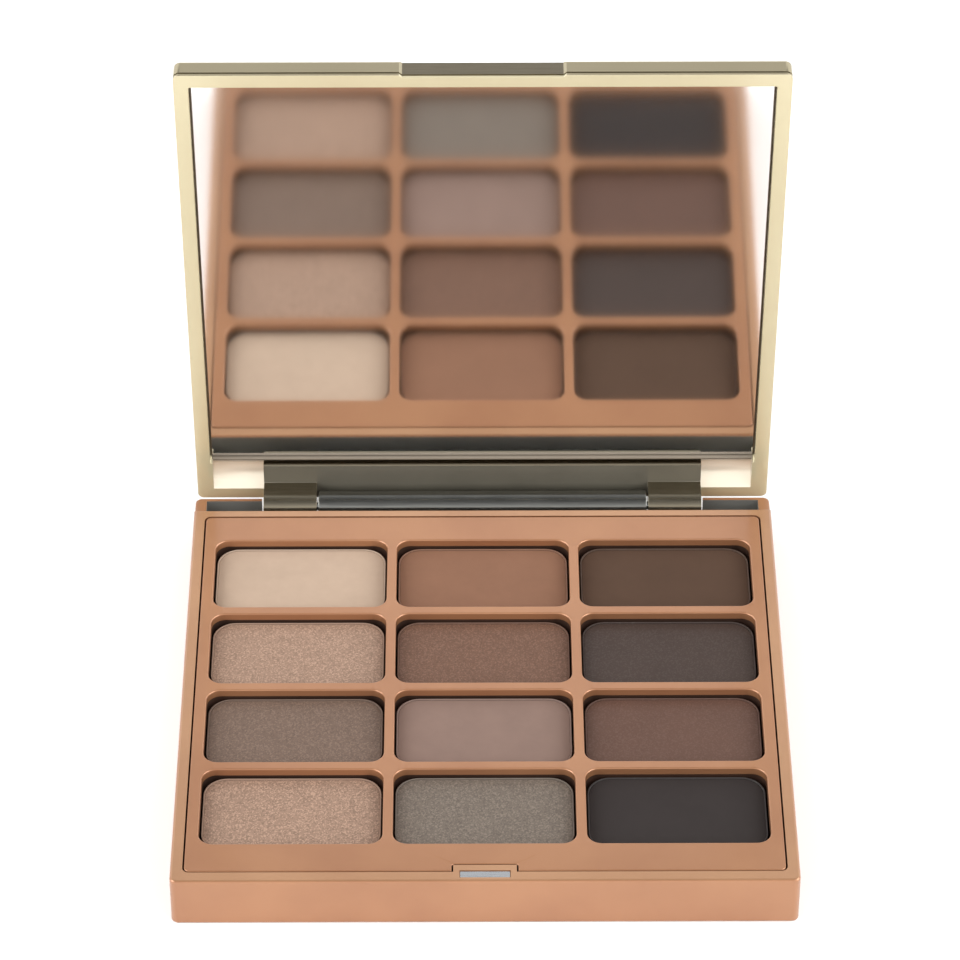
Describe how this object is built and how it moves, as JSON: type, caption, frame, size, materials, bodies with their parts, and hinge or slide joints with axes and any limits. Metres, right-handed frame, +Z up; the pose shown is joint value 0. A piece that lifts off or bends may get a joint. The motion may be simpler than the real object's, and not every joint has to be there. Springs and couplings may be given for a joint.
{
  "type": "eyeshadow palette",
  "caption": "Flat hinged makeup compact with rows of pressed-powder pans in a flush tray and a mirrored lid on a barrel hinge.",
  "frame": {"origin": "centre of the flat underside of the base", "axes": "+Z up out of the tray, +Y towards the hinge, +X to the right of someone facing the open mirror"},
  "size_m": [0.11, 0.1131, 0.1129],
  "materials": {
    "rose_gold": "satin metallised rose gold",
    "champagne_gold": "bright metallised champagne gold",
    "smoked_metal": "smoked bright metal",
    "pin_steel": "ground steel",
    "strike_steel": "plain steel strip",
    "magnet_nickel": "satin nickel plate",
    "pan_metal": "plain drawn sheet",
    "silvered_glass": "silvered mirror",
    "adhesive": "double-sided adhesive film",
    "powder_bronze_shimmer": "pressed powder",
    "powder_grey_green_shimmer": "pressed powder",
    "powder_charcoal": "pressed powder",
    "powder_taupe_shimmer": "pressed powder",
    "powder_mauve": "pressed powder",
    "powder_reddish_brown": "pressed powder",
    "powder_pink_beige_shimmer": "pressed powder",
    "powder_brown_shimmer": "pressed powder",
    "powder_dark_plum_brown": "pressed powder",
    "powder_cream": "pressed powder",
    "powder_warm_brown": "pressed powder",
    "powder_dark_olive_brown": "pressed powder"
  },
  "bodies": {
    "base": {"base_shell": "rose_gold", "pan_tray": "rose_gold", "pan_adhesive_pads": "adhesive", "base_magnet": "magnet_nickel", "hinge_barrel": "smoked_metal", "hinge_pin_left": "pin_steel", "hinge_pin_right": "pin_steel", "pan_front_left": "pan_metal", "powder_front_left": "powder_bronze_shimmer", "pan_front_centre": "pan_metal", "powder_front_centre": "powder_grey_green_shimmer", "pan_front_right": "pan_metal", "powder_front_right": "powder_charcoal", "pan_lower_middle_left": "pan_metal", "powder_lower_middle_left": "powder_taupe_shimmer", "pan_lower_middle_centre": "pan_metal", "powder_lower_middle_centre": "powder_mauve", "pan_lower_middle_right": "pan_metal", "powder_lower_middle_right": "powder_reddish_brown", "pan_upper_middle_left": "pan_metal", "powder_upper_middle_left": "powder_pink_beige_shimmer", "pan_upper_middle_centre": "pan_metal", "powder_upper_middle_centre": "powder_brown_shimmer", "pan_upper_middle_right": "pan_metal", "powder_upper_middle_right": "powder_dark_plum_brown", "pan_back_left": "pan_metal", "powder_back_left": "powder_cream", "pan_back_centre": "pan_metal", "powder_back_centre": "powder_warm_brown", "pan_back_right": "pan_metal", "powder_back_right": "powder_dark_olive_brown"},
    "lid": {"lid_frame": "champagne_gold", "lid_shell": "champagne_gold", "mirror": "silvered_glass", "mirror_adhesive": "adhesive", "lid_strike_plate": "strike_steel"}
  },
  "joints": [
    {"name": "lid_hinge", "type": "hinge", "parent": "base", "child": "lid", "pos_m": [0, 0.0524, 0.00696], "axis": [1, 0, 0], "range_deg": [-36.2, 83.8]}
  ]
}
